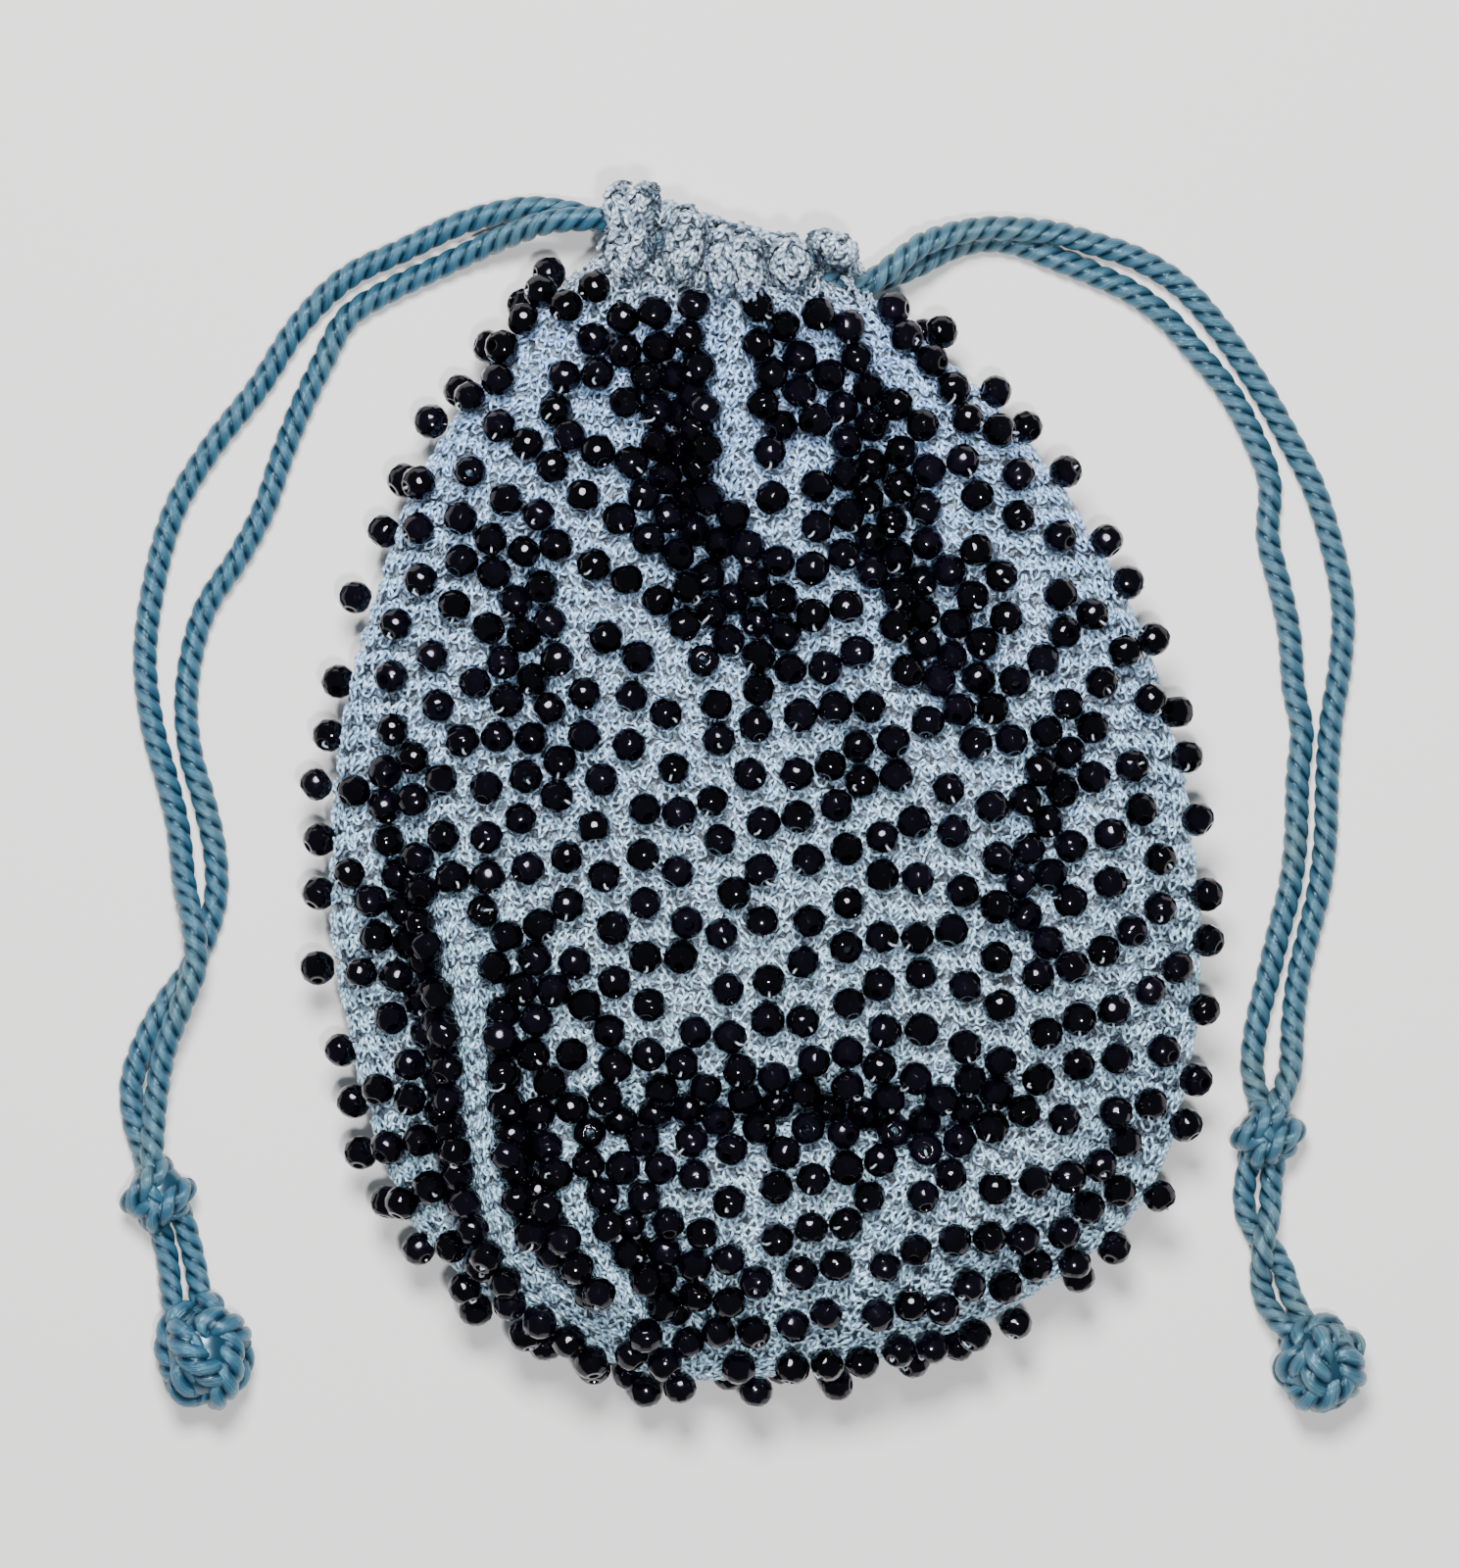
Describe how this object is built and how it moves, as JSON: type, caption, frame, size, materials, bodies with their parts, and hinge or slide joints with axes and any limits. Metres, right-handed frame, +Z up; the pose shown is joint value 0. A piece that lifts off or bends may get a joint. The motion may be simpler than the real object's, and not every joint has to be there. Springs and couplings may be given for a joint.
{
  "type": "beaded drawstring purse",
  "caption": "Crocheted drawstring pouch sewn all over with faceted glass beads, with twisted silk drawstrings that end in ball knots.",
  "frame": {"origin": "on the surface that the purse lies on, under the middle of its box without the drawstrings", "axes": "+X to the right across the purse, +Y from the round bottom to the gathered neck, +Z up out of the front"},
  "size_m": [0.1513, 0.1478, 0.024],
  "materials": {
    "crochet": "shiny ice-blue silk crochet thread",
    "drawstring_silk": "three-ply twisted turquoise blue silk cord with a soft sheen",
    "bead_glass": "opaque black fire-polished glass with soft facets"
  },
  "bodies": {
    "root": {"crochet_bag": "crochet", "left_ball_knot": "drawstring_silk", "left_drawstring_in_casing": "drawstring_silk", "left_inner_strand": "drawstring_silk", "left_inner_tail": "drawstring_silk", "left_outer_strand": "drawstring_silk", "left_outer_tail": "drawstring_silk", "left_overhand_knot": "drawstring_silk", "right_ball_knot": "drawstring_silk", "right_drawstring_in_casing": "drawstring_silk", "right_inner_strand": "drawstring_silk", "right_inner_tail": "drawstring_silk", "right_outer_strand": "drawstring_silk", "right_outer_tail": "drawstring_silk", "right_overhand_knot": "drawstring_silk", "back_bead_01": "bead_glass", "back_bead_02": "bead_glass", "back_bead_03": "bead_glass", "back_bead_04": "bead_glass", "back_bead_05": "bead_glass", "back_bead_06": "bead_glass", "back_bead_07": "bead_glass", "back_bead_08": "bead_glass", "back_bead_09": "bead_glass", "back_bead_10": "bead_glass", "back_bead_11": "bead_glass", "back_bead_12": "bead_glass", "front_bead_01": "bead_glass", "front_bead_02": "bead_glass", "front_bead_03": "bead_glass", "front_bead_04": "bead_glass", "front_bead_05": "bead_glass", "rim_bead_01": "bead_glass", "rim_bead_02": "bead_glass", "rim_bead_03": "bead_glass", "rim_bead_04": "bead_glass", "rim_bead_05": "bead_glass", "rim_bead_06": "bead_glass", "rim_bead_07": "bead_glass", "rim_bead_08": "bead_glass", "rim_bead_09": "bead_glass", "rim_bead_10": "bead_glass", "rim_bead_11": "bead_glass", "rim_bead_12": "bead_glass", "rim_bead_13": "bead_glass", "rim_bead_14": "bead_glass", "rim_bead_15": "bead_glass", "rim_bead_16": "bead_glass"}
  },
  "joints": []
}
